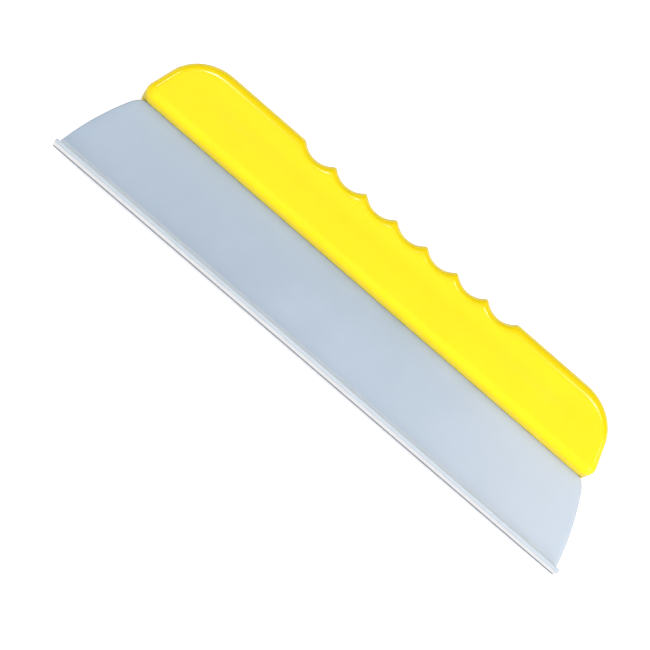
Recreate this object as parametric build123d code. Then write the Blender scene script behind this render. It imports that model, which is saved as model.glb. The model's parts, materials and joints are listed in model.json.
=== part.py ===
from build123d import *
import os
from math import cos, radians, sin, tan

# Silicone water blade: a hollow two-shell handle clamps a silicone moulding that ends in a T-shaped wiping bar.
# All lengths are in millimetres. X runs along the blade, Y from the wiping face up to the finger grip, and Z is
# the front normal. The rear land lies on Z = 0 and the shells part half way through the depth.

# Overall sizes
t_bar_length = 305.0
t_bar_depth = 8.0
flange_height = 1.6
web_free_height = 42.8
handle_length = 275.8
handle_height = 37.1
handle_depth = 19.0

# Handle outline, front view
end_lean = radians(15)
bottom_corner_radius = 5.5
top_corner_radius = 24.5

# Handle section, side view: heights are above the mouth
rim_radius = 4.6
dish_start = 14.0
dish_middle = 21.5
dish_end = 29.0
dish_sink = 0.7
crown_height = 8.0
crown_depth = 6.0

# Finger scallops along the top
scallop_count = 7
scallop_pitch = 19.0
scallop_radius = 11.5
scallop_sink = 4.6
scallop_flare = 6.5
cusp_sink = 0.8

# Hollow inside of the handle: heights are above the mouth
mouth_wall = 2.4
end_wall = 2.6
cavity_top = 29.2
cavity_depth = 14.4
cavity_bottom_radius = 3.0
cavity_top_radius = 17.0
slot_height = 3.1
slot_length = 274.0
rib_thickness = 1.5
clamp_rib_height = 10.0
tongue_thickness = 0.7
tongue_height = 0.8
tongue_inset = 0.75
groove_clearance = 0.08

# Clamp posts that pass through the silicone, and weld pins above it
post_count = 7
post_pitch = 36.0
post_height = 6.5
post_diameter = 4.6
socket_diameter = 4.7
post_boss_diameter = 8.0
post_reach = 4.0
pin_count = 6
pin_pitch = post_pitch
pin_height = 24.0
pin_diameter = 3.0
pin_socket_diameter = 3.1
pin_boss_diameter = 6.0
pin_reach = 3.0

# Silicone moulding
root_thickness = 3.0
tip_thickness = 2.0
anchor_length = 248.0
bead_diameter = 6.4
bead_height = 15.0
anchor_hole_diameter = 5.0
web_base_length = 302.2
side_radius = 140.0
side_start_angle = 8.5
side_end_angle = 24.6
shoulder_radius = 14.0

# Flex lines: the web bends just below the mouth and the wiping bar rolls on its neck
flex_drop = 6.3
flex_gap = 0.3
roll_rise = 2.9
roll_gap = 0.25
neck_width = 4.4
neck_height = 0.7
flange_edge_radius = 0.5
flange_end_radius = 1.4

# Places worked out from the sizes above
overall_height = flange_height + web_free_height + handle_height
wiping_y = -overall_height / 2
flange_top_y = wiping_y + flange_height
mouth_y = flange_top_y + web_free_height
handle_top_y = overall_height / 2
mid_z = handle_depth / 2
flex_y = mouth_y - flex_drop
roll_y = wiping_y + roll_rise
scallop_centre_y = handle_top_y - scallop_sink + scallop_radius
reach = t_bar_length


def spread(count, pitch):
    """Places along X, centred on the handle."""
    return [(i - (count - 1) / 2) * pitch for i in range(count)]


def along_x(face, length):
    """Extrudes a face drawn in Y and Z along X, centred."""
    return extrude(Plane.YZ * face, amount=length / 2, both=True)


def upright(face, depth):
    """Extrudes a face drawn in X and Y along Z, centred on the parting plane."""
    return Pos(0, 0, mid_z) * extrude(face, amount=depth / 2, both=True)


def mirrored_x(edges):
    """Joins the edges of the +X side to their mirror images."""
    return edges + [edge.mirror(Plane.YZ) for edge in edges]


def trapezoid(inset, bottom_y, top_y, bottom_radius, top_radius):
    """The handle's outline, moved in by an inset at its leaning ends, between two heights."""
    corner_x = handle_length / 2 - bottom_corner_radius
    corner_x += bottom_corner_radius * (1 + sin(end_lean)) / cos(end_lean)
    bottom_x = corner_x - inset / cos(end_lean) - (bottom_y - mouth_y) * tan(end_lean)
    top_x = bottom_x - (top_y - bottom_y) * tan(end_lean)
    corners = [(-bottom_x, bottom_y), (bottom_x, bottom_y), (top_x, top_y), (-top_x, top_y)]
    face = make_face(Polyline(*corners, close=True))
    face = fillet(face.vertices().sort_by(Axis.Y)[:2], bottom_radius)
    return fillet(face.vertices().sort_by(Axis.Y)[-2:], top_radius)


def handle_section():
    """Side view: flat land, shallow dish, rounded crown, the same at front and rear."""
    half = handle_depth / 2
    crown_y = handle_top_y - crown_height
    wall = half - crown_depth
    crown = EllipticalCenterArc((crown_y, wall), crown_height, crown_depth, start_angle=0, arc_size=90)
    dish = Spline(
        (mouth_y + dish_end, half),
        (mouth_y + dish_middle, half - dish_sink),
        (mouth_y + dish_start, half),
        tangents=[(-1, 0), (-1, 0)],
    )
    land = Polyline((mouth_y + dish_start, half), (mouth_y, half), (mouth_y, 0), (handle_top_y, 0))
    back = Line((handle_top_y, 0), (handle_top_y, wall))
    brow = Line((crown_y, half), (mouth_y + dish_end, half))
    front = make_face([crown, brow, dish, land, back])
    return Pos(0, mid_z) * (front + mirror(front, Plane.XZ))


def scallop_cutter():
    """A spool that leaves a finger scallop with a rounded rim."""
    half = handle_depth / 2
    flared = scallop_radius + scallop_flare
    past = half + 1.0
    wall = half - crown_depth
    upper = EllipticalCenterArc((flared, wall), scallop_flare, crown_depth, start_angle=90, arc_size=90)
    waist = Line((scallop_radius, wall), (scallop_radius, -wall))
    lower = EllipticalCenterArc((flared, -wall), scallop_flare, crown_depth, start_angle=180, arc_size=90)
    sides = Polyline((flared, half), (flared, past), (0, past), (0, -past), (flared, -past), (flared, -half))
    profile = Plane.XZ * make_face([upper, waist, lower, sides])
    return revolve(profile, Axis.Z)


def scallops():
    """All finger scallops, with the cusps between them taken down a little."""
    cutter = scallop_cutter()
    places = spread(scallop_count, scallop_pitch)
    cutters = [Pos(x, scallop_centre_y, mid_z) * cutter for x in places]
    trim_length = (scallop_count - 1) * scallop_pitch
    trim = Pos(0, handle_top_y - cusp_sink + scallop_radius / 2, mid_z)
    return cutters + [trim * Box(trim_length, scallop_radius, handle_depth + 2)]


def handle_body():
    """The handle as one solid lump, before it is hollowed and parted."""
    outline = trapezoid(0, mouth_y, handle_top_y, bottom_corner_radius, top_corner_radius)
    lump = upright(outline, handle_depth)
    rims = lump.edges().group_by(Axis.Z)
    lump = fillet(rims[0] + rims[-1], rim_radius)
    lump = lump & along_x(handle_section(), handle_length + 10)
    return lump - scallops()


def cavity_outline(grow):
    """The hollow's outline, grown outwards."""
    return trapezoid(
        end_wall - grow,
        mouth_y + mouth_wall - grow,
        mouth_y + cavity_top + grow,
        cavity_bottom_radius + grow,
        cavity_top_radius + grow,
    )


def cavity():
    return upright(cavity_outline(0), cavity_depth)


def weld_ring(width, height):
    """The ring that the weld tongue and its groove follow, standing on the parting plane towards the rear."""
    middle = tongue_inset + tongue_thickness / 2
    outer = cavity_outline(middle + width / 2)
    inner = cavity_outline(middle - width / 2)
    return Pos(0, 0, mid_z) * extrude(outer - inner, amount=-height)


def slot():
    """The slot in the mouth that the silicone comes out of."""
    depth = mouth_wall + 4.0
    return Pos(0, mouth_y - 2 + depth / 2, mid_z) * Box(slot_length, depth, slot_height)


def ribs():
    """Cross ribs and the clamp rib, through the whole depth of the hollow."""
    clamp_y = mouth_y + clamp_rib_height + rib_thickness / 2
    clamp = Pos(0, clamp_y, mid_z) * Box(handle_length, rib_thickness, cavity_depth)
    cross_length = cavity_top - clamp_rib_height
    cross_y = mouth_y + clamp_rib_height + cross_length / 2
    cross = Box(rib_thickness, cross_length, cavity_depth)
    found = [Pos(x, cross_y, mid_z) * cross for x in spread(post_count + 1, post_pitch)]
    return [clamp] + found


def silicone_room():
    """The space that the strip and its bead take inside the handle."""
    half_slot = slot_height / 2
    strip_y = mouth_y + bead_height / 2
    strip = Pos(0, strip_y, mid_z) * Box(handle_length, bead_height, 2 * half_slot)
    bead_room = Circle(bead_diameter / 2 + 0.1)
    return [strip, along_x(Pos(mouth_y + bead_height, mid_z) * bead_room, handle_length)]


def bosses(count, pitch, height, diameter):
    """Round bosses through the whole depth of the hollow."""
    boss = Cylinder(diameter / 2, cavity_depth)
    return [Pos(x, mouth_y + height, mid_z) * boss for x in spread(count, pitch)]


def pegs(count, pitch, height, diameter, bottom_z):
    """Round pegs from the front shell's ceiling down to a height."""
    top_z = mid_z + cavity_depth / 2
    peg = Cylinder(diameter / 2, top_z - bottom_z)
    z = (top_z + bottom_z) / 2
    return [Pos(x, mouth_y + height, z) * peg for x in spread(count, pitch)]


def half_space(front):
    size = 2 * reach
    z = mid_z + size / 2 if front else mid_z - size / 2
    return Pos(0, 0, z) * Box(size, size, size)


def shell(front):
    """One shell: skin, ribs and bosses on its own side of the parting plane."""
    skin = handle_body() - cavity()
    stiffeners = ribs() + bosses(post_count, post_pitch, post_height, post_boss_diameter)
    stiffeners += bosses(pin_count, pin_pitch, pin_height, pin_boss_diameter)
    inside = Part() + stiffeners
    inside = (inside & cavity()) - silicone_room()
    return (skin + inside) & half_space(front)


def front_handle_shell():
    made = shell(True) + weld_ring(tongue_thickness, tongue_height)
    made = made - slot()
    post_bottom = mid_z - root_thickness / 2 - post_reach + 0.5
    made = made + pegs(post_count, post_pitch, post_height, post_diameter, post_bottom)
    return made + pegs(pin_count, pin_pitch, pin_height, pin_diameter, mid_z - pin_reach)


def rear_handle_shell():
    width = tongue_thickness + 2 * groove_clearance
    made = shell(False) - weld_ring(width, tongue_height + 0.2) - slot()
    socket_bottom = mid_z - root_thickness / 2 - post_reach
    made = made - pegs(post_count, post_pitch, post_height, socket_diameter, socket_bottom)
    pin_bottom = mid_z - pin_reach - 0.5
    return made - pegs(pin_count, pin_pitch, pin_height, pin_socket_diameter, pin_bottom)


def silicone_outline():
    """Front view of the web and its anchor strip: sides that bow outwards and round over at the mouth."""
    start, end = radians(side_start_angle), radians(side_end_angle)
    base_x = web_base_length / 2
    side_centre = (base_x - side_radius * cos(start), flange_top_y - side_radius * sin(start))
    turn_x = side_centre[0] + side_radius * cos(end)
    turn_y = side_centre[1] + side_radius * sin(end)
    shoulder_centre = (turn_x - shoulder_radius * cos(end), turn_y - shoulder_radius * sin(end))
    shoulder_top = shoulder_centre[1] + shoulder_radius
    strip_top = mouth_y + bead_height + bead_diameter
    side = CenterArc(side_centre, side_radius, side_start_angle, side_end_angle - side_start_angle)
    shoulder = CenterArc(shoulder_centre, shoulder_radius, side_end_angle, 90 - side_end_angle)
    foot = Polyline((0, wiping_y), (base_x, wiping_y), (base_x, flange_top_y))
    strip = Polyline(
        (shoulder_centre[0], shoulder_top),
        (anchor_length / 2, shoulder_top),
        (anchor_length / 2, strip_top),
        (0, strip_top),
    )
    return make_face(mirrored_x([foot, side, shoulder, strip]))


def blade_anchor_strip():
    """The part of the silicone that the handle holds: strip, bead and post holes, with a rounded flex edge."""
    half = root_thickness / 2
    strip_height = mouth_y + bead_height - flex_y
    strip = Pos(flex_y + strip_height / 2, mid_z) * Rectangle(strip_height, root_thickness)
    edge = Pos(flex_y, mid_z) * Circle(half)
    bead = Pos(mouth_y + bead_height, mid_z) * Circle(bead_diameter / 2)
    made = along_x(strip + edge + bead, reach) & upright(silicone_outline(), handle_depth)
    return made - bosses(post_count, post_pitch, post_height, anchor_hole_diameter)


def blade_web():
    """The free web, tapering towards the wiping bar."""
    root, tip = root_thickness / 2, tip_thickness / 2
    corners = [(flex_y, -root), (flex_y, root), (roll_y, tip), (roll_y, -tip)]
    section = Pos(0, mid_z) * make_face(Polyline(*corners, close=True))
    section = section + Pos(roll_y, mid_z) * Circle(tip)
    section = section - Pos(flex_y, mid_z) * Circle(root + flex_gap)
    return along_x(section, reach) & upright(silicone_outline(), handle_depth)


def t_bar_head():
    """The wiping bar: a flat flange on a short neck that the web's rounded edge sits in."""
    flange = Pos(wiping_y + flange_height / 2, mid_z) * RectangleRounded(
        flange_height, t_bar_depth, flange_edge_radius
    )
    neck = Pos(flange_top_y + neck_height / 2, mid_z) * Rectangle(neck_height, neck_width)
    seat = Pos(roll_y, mid_z) * Circle(tip_thickness / 2 + roll_gap)
    bar = along_x(flange + neck - seat, t_bar_length)
    plan = Rectangle(t_bar_length, t_bar_depth)
    plan = fillet(plan.vertices(), flange_end_radius)
    trim = Plane.XZ * Pos(0, mid_z) * plan
    return bar & extrude(trim, amount=overall_height, both=True)


os.makedirs("parts", exist_ok=True)
export_step(front_handle_shell(), "parts/front_handle_shell.step")
export_step(rear_handle_shell(), "parts/rear_handle_shell.step")
export_step(blade_anchor_strip(), "parts/blade_anchor_strip.step")
export_step(blade_web(), "parts/blade_web.step")
export_step(t_bar_head(), "parts/t_bar_head.step")
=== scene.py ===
import json
from math import cos, dist, exp, log, pi, radians, sin, sqrt, tan

import bmesh
import bpy
from mathutils import Matrix, Vector


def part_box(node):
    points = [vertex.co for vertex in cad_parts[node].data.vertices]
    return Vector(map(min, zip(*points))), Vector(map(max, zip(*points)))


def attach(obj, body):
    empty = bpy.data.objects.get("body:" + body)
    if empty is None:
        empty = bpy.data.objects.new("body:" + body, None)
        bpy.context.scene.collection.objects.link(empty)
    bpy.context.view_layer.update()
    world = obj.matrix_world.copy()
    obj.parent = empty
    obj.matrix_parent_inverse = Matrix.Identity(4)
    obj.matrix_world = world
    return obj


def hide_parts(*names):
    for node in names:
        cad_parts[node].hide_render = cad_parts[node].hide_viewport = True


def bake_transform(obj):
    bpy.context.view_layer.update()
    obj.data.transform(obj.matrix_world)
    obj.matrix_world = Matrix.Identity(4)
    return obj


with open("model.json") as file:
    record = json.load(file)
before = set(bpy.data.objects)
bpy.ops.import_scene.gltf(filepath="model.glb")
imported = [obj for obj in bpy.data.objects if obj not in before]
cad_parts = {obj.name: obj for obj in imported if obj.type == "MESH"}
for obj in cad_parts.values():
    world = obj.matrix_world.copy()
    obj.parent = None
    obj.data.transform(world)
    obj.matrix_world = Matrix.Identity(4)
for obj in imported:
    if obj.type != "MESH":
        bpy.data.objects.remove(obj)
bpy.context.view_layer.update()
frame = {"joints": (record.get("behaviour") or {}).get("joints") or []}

# A silicone water blade lying on its rear land. X runs along the blade, Y from the wiping face up to the
# finger grip, and Z is the front normal. Sizes are in millimetres here, and become metres where a mesh is
# made.

MM = 0.001

# Places read from the frame
low, high = [[c / MM for c in corner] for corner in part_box("front_handle_shell")]
MOUTH, GRIP_TOP = low[1], high[1]
MID = high[2] / 2
HALF_LENGTH = high[0]
bar_low, bar_high = [[c / MM for c in corner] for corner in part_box("t_bar_head")]
WIPING = bar_low[1]
BAR_HALF_LENGTH = bar_high[0]
BAR_HALF_DEPTH = (bar_high[2] - bar_low[2]) / 2
joint_places = {j["name"]: [c / MM for c in j["pos_m"]] for j in frame["joints"]}
FLEX_Y = joint_places["blade_flex"][1]
ROLL_Y = joint_places["t_bar_roll"][1]

# Handle outline
END_LEAN = radians(15)
BOTTOM_CORNER = 5.5
TOP_CORNER = 24.5

# Finger scallops
SCALLOPS = 7
SCALLOP_PITCH = 19.0
SCALLOP_RADIUS = 11.5
SCALLOP_SINK = 4.6
SCALLOP_FLARE = 6.5
CUSP_SINK = 0.3
CUSP_SHARPNESS = 2.2

# Rounded rims: how far each reaches in from the outline, and how deep it goes before the straight wall
RIM_TOP, RIM_END, RIM_BOTTOM = 8.0, 5.0, 4.6
DEPTH_TOP, DEPTH_END = 6.0, 4.6

# Dish along the face: its middle's height above the mouth, its sizes, and where it fades out along X
DISH_MIDDLE, DISH_HALF_WIDTH, DISH_SINK = 21.5, 8.0, 0.5
DISH_END, DISH_FADE = 122.0, 22.0

# Hollow of each shell, how far its bottom corner keeps from the middle of the outline's, and the slot
WALL_END, WALL_MOUTH, HOLLOW_TOP, HOLLOW_DEPTH = 2.6, 2.4, 29.2, 7.2
HOLLOW_CORNER = 3.0
SLOT_HALF, SLOT_END = 1.6, 134.6
PARTING_CHAMFER = 0.14

# How finely the handle is divided. The scallops' fine steps run on past them by the margin.
SCALLOP_MARGIN, SCALLOP_STEPS, STRAIGHT_STEPS = 5.0, 96, 16
FOOT_STEPS, CORNER_STEPS, LEAN_STEPS, ARC_STEPS = 6, 14, 8, 24
FACE_STEPS, RIM_STEPS, WALL_STEPS, HOLLOW_STEPS = 13, 16, 3, 4

# Height above the mouth of the middle line that the face and the hollow's floor fold onto
FOLD_HEIGHT = 16.0

# Points this close are merged, and a height this close counts as the same
MERGE_DISTANCE = 0.004
TOUCHING = 0.01

# Web of silicone, and the bead along its top inside the handle
FLANGE = 1.6
ROOT_HALF, TIP_HALF = 1.5, 1.0
WEB_BASE_HALF = 151.1
SIDE_RADIUS, SIDE_START, SIDE_END = 140.0, radians(8.5), radians(24.6)
SHOULDER_RADIUS = 14.0
ANCHOR_HALF, BEAD_HEIGHT, BEAD_RADIUS = 124.0, 15.0, 3.2
BEAD_CAP = 0.9995
SIDE_ROUND = 1.3

# The web's ends keep this gap in the slot, from this far below the mouth, and its foot sinks into the bar
SLOT_GAP, SLOT_LEAD = 0.3, 0.1
WEB_SINK = 0.6

# Wiping bar: its section, with a neck that tucks into the web, and how it starts and ends along X
FLANGE_EDGE, FACE_HOLLOW = 0.35, 0.12
NECK_ROOT, NECK_TIP, NECK_RISE = 2.0, TIP_HALF + 0.12, 0.8
NECK_TUCK, NECK_TUCK_RISE = 0.1, 1.04
BAR_CORNER, BAR_EASE = 1.4, 0.02
NECK_PAST_WEB, NECK_RUN_OUT = 0.15, 0.3
FACE_POINTS, BAR_STEPS = 8, 60

# Angles of a quarter turn, for the bar's small rounded edges
QUARTER_TURN = [pi / 2 * i / 6 for i in range(7)]


def linspace(a, b, count):
    """count values from a up to but not including b."""
    return [a + (b - a) * i / count for i in range(count)]


def smoothstep(t):
    t = min(max(t, 0.0), 1.0)
    return t * t * (3 - 2 * t)


def lerp(a, b, t):
    """The point at share t of the way from a to b."""
    return (a[0] + (b[0] - a[0]) * t, a[1] + (b[1] - a[1]) * t)


def make_object(name, vertices, faces):
    """A smooth-shaded mesh object from points in millimetres."""
    mesh = bpy.data.meshes.new(name)
    mesh.from_pydata([[c * MM for c in v] for v in vertices], [], faces)
    mesh.validate()
    mesh.shade_smooth()
    obj = bpy.data.objects.new(name, mesh)
    bpy.context.collection.objects.link(obj)
    return obj


def close_mesh(obj):
    """Merges rings that fold onto a line, fills what is still open, and turns the faces outwards."""
    work = bmesh.new()
    work.from_mesh(obj.data)
    bmesh.ops.remove_doubles(work, verts=work.verts, dist=MERGE_DISTANCE * MM)
    open_edges = [e for e in work.edges if e.is_boundary]
    if open_edges:
        bmesh.ops.holes_fill(work, edges=open_edges, sides=0)
    bmesh.ops.recalc_face_normals(work, faces=work.faces)
    work.to_mesh(obj.data)
    work.free()
    obj.data.shade_smooth()


def lofted(name, rings, capped):
    """A closed mesh through rings of equally many points, with a flat cap on each end if capped."""
    count = len(rings[0])
    last = (len(rings) - 1) * count
    faces = []
    for start in range(0, last, count):
        for i in range(count):
            j = (i + 1) % count
            faces.append((start + i, start + j, start + count + j, start + count + i))
    if capped:
        faces.append(tuple(range(count)))
        faces.append(tuple(reversed(range(last, last + count))))
    obj = make_object(name, [point for ring in rings for point in ring], faces)
    close_mesh(obj)
    return obj


# ---------------------------------------------------------------- handle shells


def soft_least(lines):
    """The least of some heights, with the corners between them rounded over."""
    least = min(lines)
    total = sum(exp(-CUSP_SHARPNESS * (y - least)) for y in lines)
    return least - log(total) / CUSP_SHARPNESS


def scallop_offsets(x):
    """How far x is from the middle of each finger scallop."""
    return [abs(x - (i - (SCALLOPS - 1) / 2) * SCALLOP_PITCH) for i in range(SCALLOPS)]


def grip_line(x):
    """Height of the parting-plane outline along the top, with the finger scallops' rounded cusps."""
    among_scallops = abs(x) < (SCALLOPS - 1) / 2 * SCALLOP_PITCH
    lines = [GRIP_TOP - CUSP_SINK if among_scallops else GRIP_TOP]
    for off in scallop_offsets(x):
        if off < SCALLOP_RADIUS:
            rise = SCALLOP_RADIUS - sqrt(SCALLOP_RADIUS**2 - off**2)
            lines.append(GRIP_TOP - SCALLOP_SINK + rise)
    return soft_least(lines)


def brow_line(x):
    """Height where the rounded top rim meets the face, following the scallops more gently."""
    reach = SCALLOP_RADIUS + SCALLOP_FLARE
    centre = GRIP_TOP - SCALLOP_SINK + SCALLOP_RADIUS
    lines = [GRIP_TOP - RIM_TOP]
    for off in scallop_offsets(x):
        if off < reach:
            lines.append(centre - sqrt(reach**2 - off**2))
    return soft_least(lines)


def outline_entry(centre, angle, outer, rim, inside, depth):
    """The outline's entry at one angle from a centre, its three points at these distances.

    The last of them moves up or down where it must, to stay within the height of the hollow.
    """
    outer_point, rim_point, (x, y) = [
        (centre[0] + r * cos(angle), centre[1] + r * sin(angle)) for r in (outer, rim, inside)
    ]
    hollow_point = (x, min(max(y, MOUTH + WALL_MOUTH), MOUTH + HOLLOW_TOP))
    return outer_point, rim_point, hollow_point, depth


def handle_outline():
    """Entries round the handle, anticlockwise, and where its straight top ends.

    Each is (outer point, point where the rim meets the face, hollow point, depth of the rounded rim).
    """
    corner = (HALF_LENGTH - BOTTOM_CORNER, MOUTH + BOTTOM_CORNER)
    lean_start = (corner[0] + BOTTOM_CORNER * cos(END_LEAN), corner[1] + BOTTOM_CORNER * sin(END_LEAN))
    arc_y = GRIP_TOP - TOP_CORNER
    lean_end_y = arc_y + TOP_CORNER * sin(END_LEAN)
    lean_end = (lean_start[0] - (lean_end_y - lean_start[1]) * tan(END_LEAN), lean_end_y)
    arc_x = lean_end[0] - TOP_CORNER * cos(END_LEAN)
    scallop_end = SCALLOPS / 2 * SCALLOP_PITCH + SCALLOP_MARGIN
    places = linspace(0, scallop_end, SCALLOP_STEPS) + linspace(scallop_end, arc_x, STRAIGHT_STEPS)
    side = []
    for x in places + linspace(arc_x, corner[0], FOOT_STEPS):
        hollow_point = (min(x, corner[0] - HOLLOW_CORNER), MOUTH + WALL_MOUTH)
        side.append(((x, MOUTH), (x, MOUTH + RIM_BOTTOM), hollow_point, DEPTH_END))
    for a in linspace(-pi / 2, END_LEAN, CORNER_STEPS):
        share = smoothstep((a + pi / 2) / (END_LEAN + pi / 2))
        rim = BOTTOM_CORNER - RIM_BOTTOM - (RIM_END - RIM_BOTTOM) * share
        side.append(outline_entry(corner, a, BOTTOM_CORNER, rim, BOTTOM_CORNER - WALL_END, DEPTH_END))
    for share in linspace(0, 1, LEAN_STEPS):
        place = lerp(lean_start, lean_end, share)
        side.append(outline_entry(place, END_LEAN, 0, -RIM_END, -WALL_END, DEPTH_END))
    for a in linspace(END_LEAN, pi / 2, ARC_STEPS):
        share = smoothstep((a - END_LEAN) / (pi / 2 - END_LEAN))
        rim = TOP_CORNER - RIM_END - (RIM_TOP - RIM_END) * share
        inside = TOP_CORNER - WALL_END - (GRIP_TOP - MOUTH - HOLLOW_TOP - WALL_END) * share
        depth = DEPTH_END + (DEPTH_TOP - DEPTH_END) * share
        side.append(outline_entry((arc_x, arc_y), a, TOP_CORNER, rim, inside, depth))
    for x in [arc_x] + places[::-1]:
        side.append(((x, grip_line(x)), (x, brow_line(x)), (x, MOUTH + HOLLOW_TOP), DEPTH_TOP))
    mirrored = [(*[(-p[0], p[1]) for p in entry[:3]], entry[3]) for entry in reversed(side[1:-1])]
    return side + mirrored, arc_x


def dish(x, y):
    """How far the face sinks at a point."""
    off = (y - MOUTH - DISH_MIDDLE) / DISH_HALF_WIDTH
    if abs(off) >= 1:
        return 0.0
    fade = smoothstep((DISH_END - abs(x)) / DISH_FADE)
    return DISH_SINK * fade * cos(off * pi / 2) ** 2


def parting_height(outer, elsewhere):
    """How far from the parting plane a wall ends: SLOT_HALF at the slot, or else the given distance."""
    in_slot = abs(outer[0]) < SLOT_END and outer[1] < MOUTH + WALL_MOUTH + TOUCHING
    return SLOT_HALF if in_slot else elsewhere


def outside_rings(outline, fold):
    """Rings from the middle of the face out to the rim, round it and down the wall."""
    rings = []
    for k in range(FACE_STEPS):
        points = [lerp(rim, fold(rim), 1 - k / FACE_STEPS) for _, rim, _, _ in outline]
        rings.append([(x, y, MID - dish(x, y)) for x, y in points])
    for k in range(RIM_STEPS + 1):
        angle = pi / 2 * (1 - k / RIM_STEPS)
        ring = []
        for outer, rim, _, depth in outline:
            x, y = lerp(rim, outer, cos(angle))
            ring.append((x, y, MID - depth + (depth - dish(x, y)) * sin(angle)))
        rings.append(ring)
    for k in range(1, WALL_STEPS + 1):
        ring = []
        for outer, _, _, depth in outline:
            top, bottom = MID - depth, parting_height(outer, PARTING_CHAMFER)
            ring.append((*outer, top + (bottom - top) * k / WALL_STEPS))
        rings.append(ring)
    return rings


def inside_rings(outline, fold):
    """Rings from the parting face's outer edge across it, and from the hollow's edge to its middle."""
    edge, inner_edge = [], []
    for outer, _, inside, _ in outline:
        height = parting_height(outer, 0.0)
        edge.append((*lerp(outer, inside, PARTING_CHAMFER / dist(outer, inside)), height))
        inner_edge.append((*inside, height))
    rings = [edge, inner_edge]
    for k in range(HOLLOW_STEPS + 1):
        points = [lerp(inside, fold(inside), k / HOLLOW_STEPS) for _, _, inside, _ in outline]
        rings.append([(x, y, HOLLOW_DEPTH) for x, y in points])
    return rings


def shell_object(name, side):
    """One handle shell as a closed mesh. side is 1 for the front shell and -1 for the rear one."""
    outline, spine_end = handle_outline()

    def fold(point):
        return (min(max(point[0], -spine_end), spine_end), MOUTH + FOLD_HEIGHT)

    rings = outside_rings(outline, fold) + inside_rings(outline, fold)
    return lofted(name, [[(x, y, MID + side * z) for x, y, z in ring] for ring in rings], False)


front_shell = shell_object("handle_front", 1)
rear_shell = shell_object("handle_rear", -1)
for shell, node in ((front_shell, "front_handle_shell"), (rear_shell, "rear_handle_shell")):
    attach(shell, "handle")
    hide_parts(node)


# ---------------------------------------------------------------- silicone


def web_side(y):
    """Half length of the web at a height: sides that bow outwards, round over, and fit inside the slot."""
    flange_top = WIPING + FLANGE
    cx = WEB_BASE_HALF - SIDE_RADIUS * cos(SIDE_START)
    cy = flange_top - SIDE_RADIUS * sin(SIDE_START)
    turn_x, turn_y = cx + SIDE_RADIUS * cos(SIDE_END), cy + SIDE_RADIUS * sin(SIDE_END)
    if y <= flange_top:
        return WEB_BASE_HALF
    if y <= turn_y:
        return cx + sqrt(SIDE_RADIUS**2 - (y - cy) ** 2)
    sx, sy = turn_x - SHOULDER_RADIUS * cos(SIDE_END), turn_y - SHOULDER_RADIUS * sin(SIDE_END)
    rise = min((y - sy) / SHOULDER_RADIUS, 1.0)
    half = max(sx + SHOULDER_RADIUS * sqrt(1 - rise**2), ANCHOR_HALF)
    return min(half, SLOT_END - SLOT_GAP) if y > MOUTH - SLOT_LEAD else half


def web_half(y):
    """Half thickness of the silicone at a height."""
    if y >= FLEX_Y:
        off = abs(y - MOUTH - BEAD_HEIGHT)
        bead = sqrt(BEAD_RADIUS**2 - off**2) if off < BEAD_RADIUS else 0.0
        strip = ROOT_HALF if y <= MOUTH + BEAD_HEIGHT else 0.0
        return max(bead, strip)
    share = (FLEX_Y - y) / (FLEX_Y - ROLL_Y)
    return ROOT_HALF + (TIP_HALF - ROOT_HALF) * share


def web_ring(y):
    """A ring round the web at one height, with rounded side edges."""
    lengthwise, round_steps = 96, 8
    half_thick = web_half(y)
    edge = min(half_thick, SIDE_ROUND)
    flat = web_side(y) - edge
    ring = [(-flat + 2 * flat * i / lengthwise, y, half_thick) for i in range(lengthwise + 1)]
    for i in range(1, round_steps):
        a = pi / 2 - pi * i / round_steps
        ring.append((flat + edge * cos(a), y, half_thick * sin(a)))
    ring += [(x, y, -z) for x, _, z in ring[lengthwise::-1]]
    for i in range(1, round_steps):
        a = -pi / 2 - pi * i / round_steps
        ring.append((-flat + edge * cos(a), y, half_thick * sin(a)))
    return [(x, y, MID + z) for x, y, z in ring]


def web_rows():
    """Heights of the rings, closer together where the sides round over and where the web bends."""
    flange_top = WIPING + FLANGE
    bend_start, shoulder_start, shoulder_end = FLEX_Y - 6, MOUTH - 2, MOUTH + 3.6
    bead_y = MOUTH + BEAD_HEIGHT
    rows = [flange_top - WEB_SINK]
    rows += linspace(flange_top, bend_start, 20)
    rows += linspace(bend_start, shoulder_start, 16)
    rows += linspace(shoulder_start, shoulder_end, 22)
    rows += linspace(shoulder_end, bead_y - BEAD_RADIUS, 4)
    rows += [bead_y - BEAD_RADIUS * cos(a) for a in linspace(0, pi, 16)]
    rows += [bead_y + BEAD_RADIUS * BEAD_CAP]
    return rows


web = lofted("silicone_web", [web_ring(y) for y in web_rows()], True)
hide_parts("blade_web", "blade_anchor_strip")
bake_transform(web)


def bar_profile(half_depth, neck_share):
    """The T of the wiping bar in Y and Z: flange with a faintly hollow wiping face, and the flared neck."""
    flange_top = WIPING + FLANGE
    edge_z = half_depth - FLANGE_EDGE
    neck_rise = NECK_RISE * neck_share
    right = []
    for i in range(FACE_POINTS + 1):
        share = i / FACE_POINTS
        right.append((WIPING + FACE_HOLLOW * (1 - share**2) * neck_share, edge_z * share))
    for a in QUARTER_TURN[1:]:
        right.append((WIPING + FLANGE_EDGE * (1 - cos(a)), edge_z + FLANGE_EDGE * sin(a)))
    for a in QUARTER_TURN:
        right.append((flange_top - FLANGE_EDGE * (1 - sin(a)), edge_z + FLANGE_EDGE * cos(a)))
    for a in QUARTER_TURN:
        z = NECK_ROOT - (NECK_ROOT - NECK_TIP) * sin(a)
        right.append((flange_top + neck_rise * (1 - cos(a)), z))
    right.append((flange_top + neck_rise * NECK_TUCK_RISE, NECK_TIP - NECK_TUCK))
    left = [(y, -z) for y, z in reversed(right[1:])]
    return right + left


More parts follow.
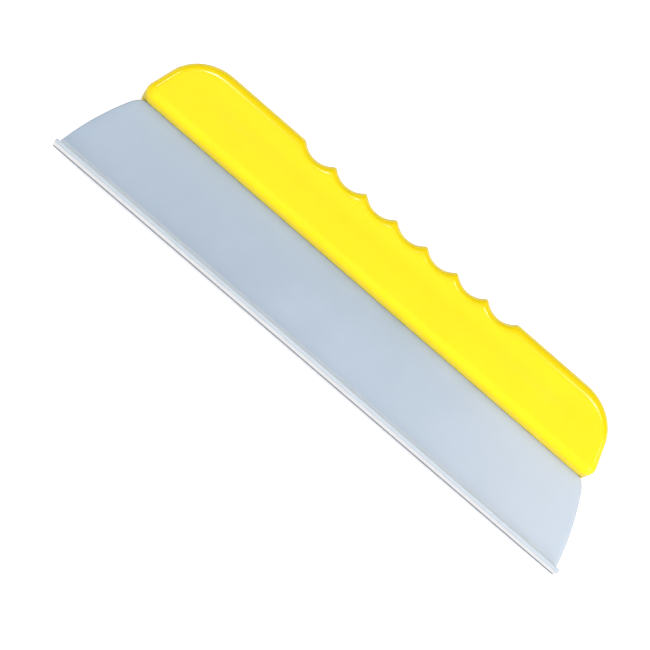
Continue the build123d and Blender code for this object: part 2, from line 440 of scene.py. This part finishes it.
def bar_object():
    """The wiping bar: the T profile swept along X, with rounded flange ends and a neck along the web."""
    neck_end = WEB_BASE_HALF + NECK_PAST_WEB
    corner_x, corner_z = BAR_HALF_LENGTH - BAR_CORNER, BAR_HALF_DEPTH - BAR_CORNER
    rounded = [(corner_x + BAR_CORNER * cos(a), corner_z + BAR_CORNER * sin(a), 0.0) for a in QUARTER_TURN]
    places = [place for place in rounded if place[0] > neck_end]
    places.append((neck_end, BAR_HALF_DEPTH - BAR_EASE, 0.0))
    places += [(x, BAR_HALF_DEPTH, 1.0) for x in linspace(neck_end - NECK_RUN_OUT, 0, BAR_STEPS)]
    places.append((0.0, BAR_HALF_DEPTH, 1.0))
    places += [(-x, half, neck) for x, half, neck in reversed(places[:-1])]
    rings = [[(x, y, MID + z) for y, z in bar_profile(half, neck)] for x, half, neck in places]
    return lofted("wiping_bar", rings, True)


bar = bar_object()
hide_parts("t_bar_head")
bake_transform(bar)


# ---------------------------------------------------------------- materials

YELLOW_DEEP, YELLOW_LIGHT = (0.92, 0.665, 0.001), (0.96, 0.705, 0.003)
WEB_DARK, WEB_LIGHT = (0.425, 0.495, 0.575), (0.48, 0.55, 0.63)
# Painted light: the paler end colour stands in for stronger light at that end of the web, and the milky
# colour is partly milkier thick silicone, partly painted light over the shade above the bar
WEB_PAINTED_LIGHT_END, WEB_MILKY_AND_PAINTED_LIGHT = (0.62, 0.66, 0.71), (0.70, 0.74, 0.77)
BAR_DARK, BAR_LIGHT = (0.53, 0.585, 0.62), (0.57, 0.62, 0.66)
# Painted light and shadow: the near-white face colour stands in for the light the wiping face catches, and
# the dark rear colour is a painted shadow
BAR_PAINTED_LIGHT_FACE, BAR_PAINTED_SHADOW = (0.88, 0.86, 0.84), (0.22, 0.22, 0.26)
FLOOR_LIT, FLOOR_SEEN = (0.55, 0.56, 0.58), (0.92, 0.92, 0.92)

# Where painted bands fade from one colour to the next: along X for the painted light at the web's brighter
# end, above the flange for the band of milky silicone and painted light, above the wiping face and in front
# of the middle plane for the painted light on the wiping face, and behind the middle plane for the painted
# shadow
PAINTED_LIGHT_END_FADE = (10, 140)
MILKY_AND_LIGHT_FADE = (1.4, 3.2)
PAINTED_LIGHT_FACE_FADE = (0.15, 0.3)
PAINTED_LIGHT_FRONT_FADE = (2.2, 3.0)
PAINTED_SHADOW_FADE = (-2.1, -1.7)


def new_material(name):
    material = bpy.data.materials.new(name)
    material.use_nodes = True
    tree = material.node_tree
    shader = tree.nodes["Principled BSDF"]
    return material, tree, shader


def object_coordinates(tree):
    return tree.nodes.new("ShaderNodeTexCoord").outputs["Object"]


def noise(tree, scale, detail, vector=None):
    """Noise over object coordinates, or over another vector."""
    node = tree.nodes.new("ShaderNodeTexNoise")
    node.inputs["Scale"].default_value = scale
    node.inputs["Detail"].default_value = detail
    tree.links.new(object_coordinates(tree) if vector is None else vector, node.inputs["Vector"])
    return node.outputs["Fac"]


def streaks(tree, scale, stretch):
    """Fine marks drawn out along one axis: noise over object coordinates multiplied per axis."""
    node = tree.nodes.new("ShaderNodeVectorMath")
    node.operation = "MULTIPLY"
    tree.links.new(object_coordinates(tree), node.inputs[0])
    node.inputs[1].default_value = [scale * s for s in stretch]
    return noise(tree, 1.0, 3.0, node.outputs["Vector"])


def along(tree, axis):
    """One object coordinate in millimetres."""
    node = tree.nodes.new("ShaderNodeSeparateXYZ")
    tree.links.new(object_coordinates(tree), node.inputs["Vector"])
    return arithmetic(tree, "MULTIPLY", node.outputs[axis], 1 / MM)


def spread_to(tree, value, low_value, high_value):
    """Stretches 0 to 1 onto another range."""
    node = tree.nodes.new("ShaderNodeMapRange")
    node.inputs["To Min"].default_value = low_value
    node.inputs["To Max"].default_value = high_value
    tree.links.new(value, node.inputs["Value"])
    return node.outputs["Result"]


def threshold(tree, value, start, end):
    """0 below start, 1 above end and smooth between."""
    node = tree.nodes.new("ShaderNodeMapRange")
    node.interpolation_type = "SMOOTHSTEP"
    node.inputs["From Min"].default_value = start
    node.inputs["From Max"].default_value = end
    tree.links.new(value, node.inputs["Value"])
    return node.outputs["Result"]


def arithmetic(tree, operation, first, second):
    """A sum or product, each side a number or a socket."""
    node = tree.nodes.new("ShaderNodeMath")
    node.operation = operation
    for socket, value in zip(node.inputs, (first, second)):
        if isinstance(value, (int, float)):
            socket.default_value = value
        else:
            tree.links.new(value, socket)
    return node.outputs["Value"]


def opposite(tree, value):
    """1 where the value is 0, and 0 where it is 1."""
    return arithmetic(tree, "SUBTRACT", 1, value)


def colour_between(tree, share, first, second):
    """Mixes two fixed colours."""
    node = tree.nodes.new("ShaderNodeMix")
    node.data_type = "RGBA"
    node.inputs["A"].default_value = (*first, 1)
    node.inputs["B"].default_value = (*second, 1)
    tree.links.new(share, node.inputs["Factor"])
    return node.outputs["Result"]


def mixed_colour(tree, share, first, second):
    """Mixes a colour socket towards a fixed colour."""
    node = tree.nodes.new("ShaderNodeMix")
    node.data_type = "RGBA"
    tree.links.new(share, node.inputs["Factor"])
    tree.links.new(first, node.inputs["A"])
    node.inputs["B"].default_value = (*second, 1)
    return node.outputs["Result"]


def bump(tree, height, distance, strength, normal=None):
    node = tree.nodes.new("ShaderNodeBump")
    node.inputs["Distance"].default_value = distance
    node.inputs["Strength"].default_value = strength
    tree.links.new(height, node.inputs["Height"])
    if normal is not None:
        tree.links.new(normal, node.inputs["Normal"])
    return node.outputs["Normal"]


def yellow_plastic():
    """Glossy moulded plastic: faint colour drift, soft moulding waves, fine grain and hairline scuffs."""
    material, tree, shader = new_material("handle_plastic")
    colour = colour_between(tree, noise(tree, 35, 3), YELLOW_DEEP, YELLOW_LIGHT)
    tree.links.new(colour, shader.inputs["Base Color"])
    scuffs = threshold(tree, streaks(tree, 60, (1.0, 14.0, 14.0)), 0.62, 0.74)
    cloudy = spread_to(tree, noise(tree, 220, 4), 0.13, 0.21)
    roughness = arithmetic(tree, "ADD", cloudy, arithmetic(tree, "MULTIPLY", scuffs, 0.08))
    tree.links.new(roughness, shader.inputs["Roughness"])
    waves = bump(tree, noise(tree, 45, 1), 0.0003, 0.2)
    grain = bump(tree, noise(tree, 2600, 2), 0.00001, 0.4, waves)
    tree.links.new(grain, shader.inputs["Normal"])
    shader.inputs["IOR"].default_value = 1.5
    shader.inputs["Specular IOR Level"].default_value = 0.45
    shader.inputs["Subsurface Weight"].default_value = 0.3
    shader.inputs["Subsurface Radius"].default_value = (1.0, 0.5, 0.06)
    shader.inputs["Subsurface Scale"].default_value = 0.003
    return material


def silicone(name, dark, light, clear, roughness, glow):
    """Satin translucent silicone: slow clouds, fine specks, faint wipe marks.

    clear is the share that lets light through, roughness a range, and glow how far in metres light spreads
    inside. Returns the material with its tree, its shader and its colour so far.
    """
    material, tree, shader = new_material(name)
    clouds = arithmetic(tree, "ADD", noise(tree, 9, 3), spread_to(tree, noise(tree, 60, 2), -0.12, 0.12))
    colour = colour_between(tree, threshold(tree, clouds, 0.3, 0.75), dark, light)
    specks = arithmetic(tree, "MULTIPLY", threshold(tree, noise(tree, 900, 0), 0.8, 0.86), 0.3)
    colour = mixed_colour(tree, specks, colour, [min(c * 1.3, 0.95) for c in light])
    marks = streaks(tree, 40, (8.0, 1.0, 1.0))
    tree.links.new(spread_to(tree, marks, *roughness), shader.inputs["Roughness"])
    waves = bump(tree, noise(tree, 22, 1), 0.0004, 0.3)
    grain = bump(tree, noise(tree, 1800, 3), 0.00003, 0.6, waves)
    tree.links.new(grain, shader.inputs["Normal"])
    shader.inputs["IOR"].default_value = 1.41
    shader.inputs["Transmission Weight"].default_value = clear
    shader.inputs["Subsurface Weight"].default_value = 0.5
    shader.inputs["Subsurface Radius"].default_value = (0.9, 1.0, 1.1)
    shader.inputs["Subsurface Scale"].default_value = glow
    return material, tree, shader, colour


def web_silicone():
    """Smoky blue-grey silicone with painted light: paler towards one end, and paler in a band above the
    bar, that band partly milkier thick silicone and partly painted light over the shade there.
    """
    material, tree, shader, colour = silicone(
        "blade_silicone", WEB_DARK, WEB_LIGHT, clear=0.15, roughness=(0.24, 0.42), glow=0.004
    )
    # Painted light: the web is painted paler towards its +X end, where the light falls more strongly
    painted_light_end = arithmetic(tree, "MULTIPLY", threshold(tree, along(tree, "X"), *PAINTED_LIGHT_END_FADE), 0.65)
    colour = mixed_colour(tree, painted_light_end, colour, WEB_PAINTED_LIGHT_END)
    # A paler band above the flange: partly milkier thick silicone, partly painted light that lifts the
    # shade where the web meets the flange
    milky_and_light_start, milky_and_light_end = [WIPING + FLANGE + height for height in MILKY_AND_LIGHT_FADE]
    milky_and_painted_light = opposite(tree, threshold(tree, along(tree, "Y"), milky_and_light_start, milky_and_light_end))
    colour = mixed_colour(tree, arithmetic(tree, "MULTIPLY", milky_and_painted_light, 0.8), colour, WEB_MILKY_AND_PAINTED_LIGHT)
    tree.links.new(colour, shader.inputs["Base Color"])
    return material


def wiping_silicone():
    """The web's silicone, with painted light on the wiping face and a painted shadow along its rear."""
    material, tree, shader, colour = silicone(
        "wiping_silicone", BAR_DARK, BAR_LIGHT, clear=0.1, roughness=(0.45, 0.6), glow=0.0005
    )
    # Painted light: the wiping face, behind its front edge, is painted near white for the light and
    # reflection it catches
    face_light_start, face_light_end = [WIPING + height for height in PAINTED_LIGHT_FACE_FADE]
    painted_face_light = opposite(tree, threshold(tree, along(tree, "Y"), face_light_start, face_light_end))
    light_front_start, light_front_end = [MID + depth for depth in PAINTED_LIGHT_FRONT_FADE]
    light_behind_front = opposite(tree, threshold(tree, along(tree, "Z"), light_front_start, light_front_end))
    colour = mixed_colour(tree, arithmetic(tree, "MULTIPLY", painted_face_light, light_behind_front), colour, BAR_PAINTED_LIGHT_FACE)
    # Painted shadow: a dark line along the bar's rear edge, standing in for the contact shadow under it
    shadow_start, shadow_end = [MID + depth for depth in PAINTED_SHADOW_FADE]
    painted_shadow = opposite(tree, threshold(tree, along(tree, "Z"), shadow_start, shadow_end))
    colour = mixed_colour(tree, arithmetic(tree, "MULTIPLY", painted_shadow, 0.85), colour, BAR_PAINTED_SHADOW)
    tree.links.new(colour, shader.inputs["Base Color"])
    return material


plastic = yellow_plastic()
for shell in (front_shell, rear_shell):
    shell.data.materials.append(plastic)
web.data.materials.append(web_silicone())
bar.data.materials.append(wiping_silicone())


# ---------------------------------------------------------------- floor, light and camera

# The dome of soft light: where it is brightest, how it falls off, how bright it is,
# and how much of it shows in reflections
DOME_DIRECTION = (0.1, -0.42, 0.9)
DOME_EDGE, DOME_CORE = -0.1, 0.85
DOME_DIM, DOME_BRIGHT = 0.12, 1.72
DOME_GLOSS = 0.25

# The camera: angles in degrees, the point it looks at in millimetres, and its distance in metres
CAMERA_YAW, CAMERA_TILT, CAMERA_ROLL = -4.28, 20.93, 39.12
CAMERA_TARGET = (-4.33, -21.67, MID)
CAMERA_DISTANCE = 0.9
LENS, SENSOR = 107.7, 36.0


def floor_object():
    """A plain pale floor. It gives back less light than it shows, so that the undersides stay in shade."""
    reach = 8000.0
    corners = [(-reach, -reach, 0), (reach, -reach, 0), (reach, reach, 0), (-reach, reach, 0)]
    obj = make_object("floor", corners, [(0, 1, 2, 3)])
    material, tree, shader = new_material("floor_paint")
    seen = tree.nodes.new("ShaderNodeLightPath").outputs["Is Camera Ray"]
    tree.links.new(colour_between(tree, seen, FLOOR_LIT, FLOOR_SEEN), shader.inputs["Base Color"])
    shader.inputs["Roughness"].default_value = 0.9
    shader.inputs["Specular IOR Level"].default_value = 0.1
    shader.inputs["Emission Color"].default_value = (1, 1, 1, 1)
    tree.links.new(spread_to(tree, seen, 0.0, 0.32), shader.inputs["Emission Strength"])
    obj.data.materials.append(material)


def softbox(name, place, size, radiance, gloss_only=True):
    """A rectangular area light at a place in metres, facing the object, its long side along X."""
    data = bpy.data.lights.new(name, "AREA")
    data.shape = "RECTANGLE"
    data.size, data.size_y = size
    data.energy = radiance * pi * size[0] * size[1]
    obj = bpy.data.objects.new(name, data)
    back = Vector(place).normalized()
    right = (Vector((1, 0, 0)) - back * back.x).normalized()
    turn = Matrix((right, back.cross(right), back)).transposed()
    obj.matrix_world = Matrix.Translation(place) @ turn.to_4x4()
    obj.visible_diffuse = not gloss_only
    obj.visible_transmission = not gloss_only
    bpy.context.collection.objects.link(obj)


def studio_world():
    """A soft dome of light over the wiping side, dim on the grip side, and white where it is seen."""
    world = bpy.data.worlds.new("studio")
    bpy.context.scene.world = world
    world.use_nodes = True
    tree = world.node_tree
    dome = tree.nodes["Background"]
    dome.inputs["Color"].default_value = (0.95, 0.97, 1.0, 1)
    toward = tree.nodes.new("ShaderNodeVectorMath")
    toward.operation = "DOT_PRODUCT"
    tree.links.new(tree.nodes.new("ShaderNodeTexCoord").outputs["Generated"], toward.inputs[0])
    toward.inputs[1].default_value = Vector(DOME_DIRECTION).normalized()
    bright = threshold(tree, toward.outputs["Value"], DOME_EDGE, DOME_CORE)
    path = tree.nodes.new("ShaderNodeLightPath")
    gloss = spread_to(tree, path.outputs["Is Glossy Ray"], 1.0, DOME_GLOSS)
    strength = arithmetic(tree, "MULTIPLY", spread_to(tree, bright, DOME_DIM, DOME_BRIGHT), gloss)
    tree.links.new(strength, dome.inputs["Strength"])
    seen = tree.nodes.new("ShaderNodeBackground")
    seen.inputs["Color"].default_value = (1, 1, 1, 1)
    mix = tree.nodes.new("ShaderNodeMixShader")
    tree.links.new(path.outputs["Is Camera Ray"], mix.inputs["Fac"])
    tree.links.new(dome.outputs["Background"], mix.inputs[1])
    tree.links.new(seen.outputs["Background"], mix.inputs[2])
    tree.links.new(mix.outputs["Shader"], tree.nodes["World Output"].inputs["Surface"])


def camera_object():
    """The camera leans towards the wiping bar and is turned so that the blade runs down to the right."""
    yaw, tilt, roll = radians(CAMERA_YAW), radians(CAMERA_TILT), radians(CAMERA_ROLL)
    back = Vector((sin(yaw), -sin(tilt) * cos(yaw), cos(tilt) * cos(yaw))).normalized()
    up = (Vector((0, 1, 0)) - back * back.y).normalized()
    right = up.cross(back)
    image_right = cos(roll) * right + sin(roll) * up
    image_up = cos(roll) * up - sin(roll) * right
    data = bpy.data.cameras.new("camera")
    data.lens, data.sensor_width = LENS, SENSOR
    data.clip_start, data.clip_end = 0.01, 50
    obj = bpy.data.objects.new("camera", data)
    turn = Matrix((image_right, image_up, back)).transposed()
    place = Vector(CAMERA_TARGET) * MM + back * CAMERA_DISTANCE
    obj.matrix_world = Matrix.Translation(place) @ turn.to_4x4()
    bpy.context.collection.objects.link(obj)
    bpy.context.scene.camera = obj


floor_object()
softbox("grip_left", (-0.38, 1.5, 1.65), (0.2, 0.14), 75)
softbox("grip_right", (0.74, 1.5, 1.65), (0.2, 0.14), 70)
softbox("end_left", (-0.472, 0.317, 0.329), (0.025, 0.025), 70)
softbox("end_right", (0.525, 0.308, 0.27), (0.025, 0.025), 70)
softbox("fill", (0.62, -0.15, 0.35), (0.4, 0.4), 2.4, gloss_only=False)
studio_world()
camera_object()
bpy.context.scene.view_settings.view_transform = "Standard"
